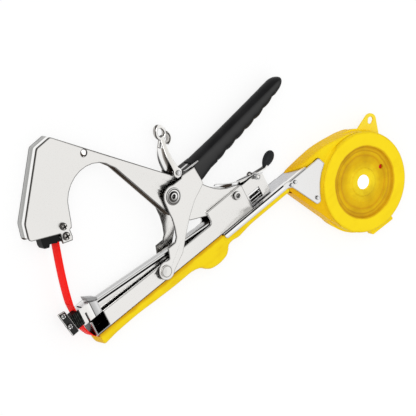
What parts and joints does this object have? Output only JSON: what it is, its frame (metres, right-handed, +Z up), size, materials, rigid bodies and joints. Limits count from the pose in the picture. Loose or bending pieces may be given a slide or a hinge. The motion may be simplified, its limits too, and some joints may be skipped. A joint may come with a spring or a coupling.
{
  "type": "plant tying tool",
  "caption": "Hand plier with a jaw that draws tape round a stem, a staple magazine, a squeeze handle, and a round tape case at the rear.",
  "frame": {"origin": "middle of the tool's footprint, on the surface that it lies on", "axes": "+X along the lower body towards the tape case, +Y from the lower body towards the jaw, +Z up from the side that it lies on"},
  "size_m": [0.3362, 0.25, 0.02],
  "materials": {
    "plated_sheet": "bright nickel plate on pressed steel sheet",
    "plated_fastener": "bright nickel plate, turned or headed steel",
    "bare_steel": "ground steel",
    "spring_steel": "drawn spring wire",
    "yellow_plastic": "semi-gloss moulded plastic",
    "black_plastic": "satin moulded plastic",
    "black_rubber": "satin dipped vinyl",
    "red_tape": "soft stretched vinyl tape"
  },
  "bodies": {
    "frame": {"frame_channel": "plated_sheet", "tape_guide": "yellow_plastic", "tail_channel": "plated_sheet", "case_back": "yellow_plastic", "driver_blade": "bare_steel", "hinge_rivet": "plated_fastener", "tail_rivet_1": "plated_fastener", "tail_rivet_2": "plated_fastener", "tail_rivet_3": "plated_fastener", "handle_pivot_stud_1": "plated_fastener", "handle_pivot_stud_2": "plated_fastener", "tape_feed": "red_tape", "tape_strip": "red_tape", "return_spring": "spring_steel"},
    "jaw": {"jaw_arm": "plated_sheet", "head_screw_1": "plated_fastener", "head_screw_2": "plated_fastener", "anvil": "bare_steel", "tape_clamp": "black_plastic", "cutter_blade": "bare_steel"},
    "handle": {"handle_plate_near": "plated_sheet", "handle_plate_far": "plated_sheet", "drive_pin": "plated_fastener", "handle_tang": "plated_sheet", "grip": "black_rubber", "hook_pin": "plated_fastener"},
    "thumb_hook": {"thumb_hook": "plated_sheet"},
    "magazine": {"magazine_body": "plated_sheet", "magazine_nose": "plated_sheet", "nose_cover": "bare_steel", "tape_gate": "black_plastic", "front_bracket": "plated_sheet", "bracket_screw_1": "plated_fastener", "bracket_screw_2": "plated_fastener", "staple_strip": "bare_steel", "pusher_rod": "bare_steel", "pusher_spring": "spring_steel", "magazine_catch": "bare_steel", "latch_pin": "plated_fastener"},
    "latch_lever": {"latch_lever": "plated_sheet", "latch_knob": "black_plastic"},
    "pusher": {"staple_pusher": "bare_steel"},
    "case_lid": {"case_lid": "yellow_plastic"},
    "tape_roll": {"tape_roll": "red_tape"}
  },
  "joints": [
    {"name": "jaw_close", "type": "hinge", "parent": "frame", "child": "jaw", "pos_m": [0.0215, -0.01938, 0.01], "axis": [0, 0, 1], "range_deg": [0, 15.6], "stiffness_Nm_per_rad": 0.4, "springref_deg": -17.19, "deforming": ["return_spring", "tape_strip"]},
    {"name": "handle_squeeze", "type": "hinge", "parent": "frame", "child": "handle", "pos_m": [-0.0656, -0.02978, 0.01], "axis": [0, 0, 1], "range_deg": [-11, 0]},
    {"name": "thumb_hook_swing", "type": "hinge", "parent": "handle", "child": "thumb_hook", "pos_m": [-0.0171, 0.03052, 0.01], "axis": [0, 0, 1], "range_deg": [-35, 20]},
    {"name": "magazine_press", "type": "hinge", "parent": "frame", "child": "magazine", "pos_m": [0.0215, -0.01938, 0.01], "axis": [0, 0, 1], "range_deg": [0, 2.5], "stiffness_Nm_per_rad": 2, "springref_deg": -2.86, "deforming": ["tape_feed"]},
    {"name": "latch_release", "type": "hinge", "parent": "magazine", "child": "latch_lever", "pos_m": [0.0448, -0.01778, 0.01], "axis": [0, 0, 1], "range_deg": [-12, 0], "stiffness_Nm_per_rad": 0.05, "springref_deg": 8.59},
    {"name": "pusher_travel", "type": "slide", "parent": "magazine", "child": "pusher", "axis": [0.9956, -0.0935, 0], "range_m": [0, 0.055], "stiffness_N_per_m": 20, "springref_m": -0.05, "deforming": ["pusher_spring"]},
    {"name": "lid_lift", "type": "slide", "parent": "frame", "child": "case_lid", "axis": [0, 0, 1], "range_m": [0, 0.022]},
    {"name": "roll_spin", "type": "hinge", "parent": "frame", "child": "tape_roll", "pos_m": [0.1269, -0.08178, 0.01], "axis": [0, 0, 1], "continuous": true}
  ],
  "couplings": [
    {"joint": "handle_squeeze", "follows": "jaw_close", "ratio": -0.7051}
  ]
}
